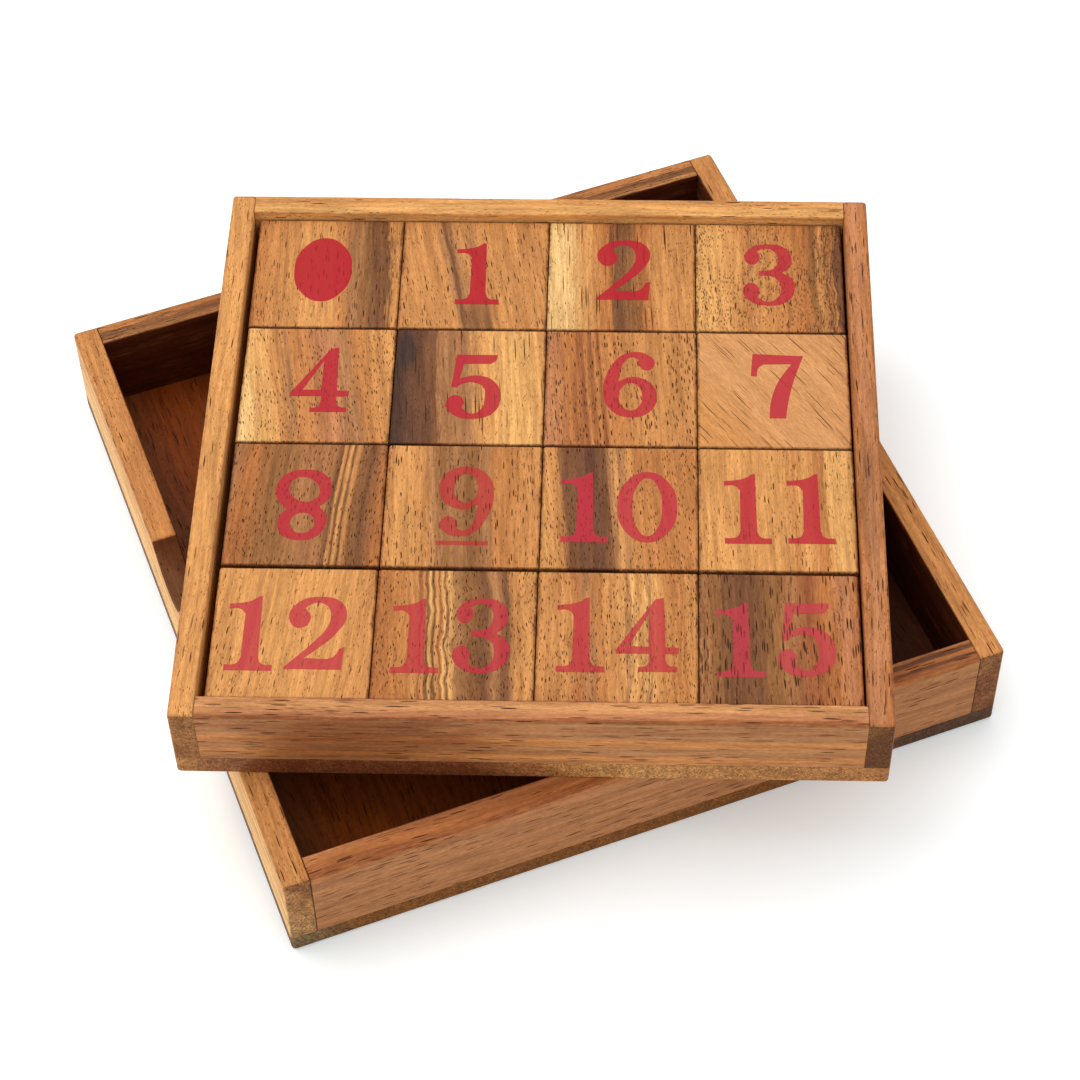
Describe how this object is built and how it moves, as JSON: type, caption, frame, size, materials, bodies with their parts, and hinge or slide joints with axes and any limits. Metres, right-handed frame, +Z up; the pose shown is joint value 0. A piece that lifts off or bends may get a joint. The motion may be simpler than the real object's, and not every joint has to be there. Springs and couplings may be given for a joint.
{
  "type": "sliding tile puzzle",
  "caption": "Wooden sliding tile puzzle: numbered square tiles in a shallow tray that lies turned across its upturned lid, which has thumb notches.",
  "frame": {"origin": "middle of the lid's flat underside, on the surface that the puzzle lies on", "axes": "+X across the lid to the right, +Y to the back of the lid, +Z up, out of the lid's open side and through the tray"},
  "size_m": [0.1822, 0.1822, 0.0426],
  "materials": {
    "lid_rail_wood": "light to reddish brown hardwood, waxed",
    "lid_board_wood": "dark brown hardwood, waxed",
    "tray_rail_wood": "golden orange hardwood, waxed",
    "tray_board_wood": "brown hardwood, waxed",
    "light_tile_wood": "golden tan hardwood with dark pores, waxed",
    "dark_tile_wood": "brown hardwood with dark bands, waxed",
    "tile_print": "thin red printing ink"
  },
  "bodies": {
    "lid": {"lid_board": "lid_board_wood", "lid_left_rail": "lid_rail_wood", "lid_right_rail": "lid_rail_wood", "lid_front_rail": "lid_rail_wood", "lid_back_rail": "lid_rail_wood"},
    "tray": {"tray_board": "tray_board_wood", "tray_left_rail": "tray_rail_wood", "tray_right_rail": "tray_rail_wood", "tray_front_rail": "tray_rail_wood", "tray_back_rail": "tray_rail_wood"},
    "tile_dot": {"tile_dot": "light_tile_wood"},
    "tile_1": {"tile_1": "light_tile_wood"},
    "tile_2": {"tile_2": "light_tile_wood"},
    "tile_3": {"tile_3": "dark_tile_wood"},
    "tile_4": {"tile_4": "light_tile_wood"},
    "tile_5": {"tile_5": "dark_tile_wood"},
    "tile_6": {"tile_6": "light_tile_wood"},
    "tile_7": {"tile_7": "light_tile_wood"},
    "tile_8": {"tile_8": "light_tile_wood"},
    "tile_9": {"tile_9": "light_tile_wood"},
    "tile_10": {"tile_10": "dark_tile_wood"},
    "tile_11": {"tile_11": "light_tile_wood"},
    "tile_12": {"tile_12": "light_tile_wood"},
    "tile_13": {"tile_13": "dark_tile_wood"},
    "tile_14": {"tile_14": "light_tile_wood"},
    "tile_15": {"tile_15": "dark_tile_wood"}
  },
  "joints": [
    {"name": "tray_lift", "type": "slide", "parent": "lid", "child": "tray", "axis": [0, 0, 1], "range_m": [0, 0.05]},
    {"name": "tile_dot_lift", "type": "slide", "parent": "tray", "child": "tile_dot", "axis": [0, 0, 1], "range_m": [0, 0.02]},
    {"name": "tile_1_lift", "type": "slide", "parent": "tray", "child": "tile_1", "axis": [0, 0, 1], "range_m": [0, 0.02]},
    {"name": "tile_2_lift", "type": "slide", "parent": "tray", "child": "tile_2", "axis": [0, 0, 1], "range_m": [0, 0.02]},
    {"name": "tile_3_lift", "type": "slide", "parent": "tray", "child": "tile_3", "axis": [0, 0, 1], "range_m": [0, 0.02]},
    {"name": "tile_4_lift", "type": "slide", "parent": "tray", "child": "tile_4", "axis": [0, 0, 1], "range_m": [0, 0.02]},
    {"name": "tile_5_lift", "type": "slide", "parent": "tray", "child": "tile_5", "axis": [0, 0, 1], "range_m": [0, 0.02]},
    {"name": "tile_6_lift", "type": "slide", "parent": "tray", "child": "tile_6", "axis": [0, 0, 1], "range_m": [0, 0.02]},
    {"name": "tile_7_lift", "type": "slide", "parent": "tray", "child": "tile_7", "axis": [0, 0, 1], "range_m": [0, 0.02]},
    {"name": "tile_8_lift", "type": "slide", "parent": "tray", "child": "tile_8", "axis": [0, 0, 1], "range_m": [0, 0.02]},
    {"name": "tile_9_lift", "type": "slide", "parent": "tray", "child": "tile_9", "axis": [0, 0, 1], "range_m": [0, 0.02]},
    {"name": "tile_10_lift", "type": "slide", "parent": "tray", "child": "tile_10", "axis": [0, 0, 1], "range_m": [0, 0.02]},
    {"name": "tile_11_lift", "type": "slide", "parent": "tray", "child": "tile_11", "axis": [0, 0, 1], "range_m": [0, 0.02]},
    {"name": "tile_12_lift", "type": "slide", "parent": "tray", "child": "tile_12", "axis": [0, 0, 1], "range_m": [0, 0.02]},
    {"name": "tile_13_lift", "type": "slide", "parent": "tray", "child": "tile_13", "axis": [0, 0, 1], "range_m": [0, 0.02]},
    {"name": "tile_14_lift", "type": "slide", "parent": "tray", "child": "tile_14", "axis": [0, 0, 1], "range_m": [0, 0.02]},
    {"name": "tile_15_lift", "type": "slide", "parent": "tray", "child": "tile_15", "axis": [0, 0, 1], "range_m": [0, 0.02]}
  ]
}
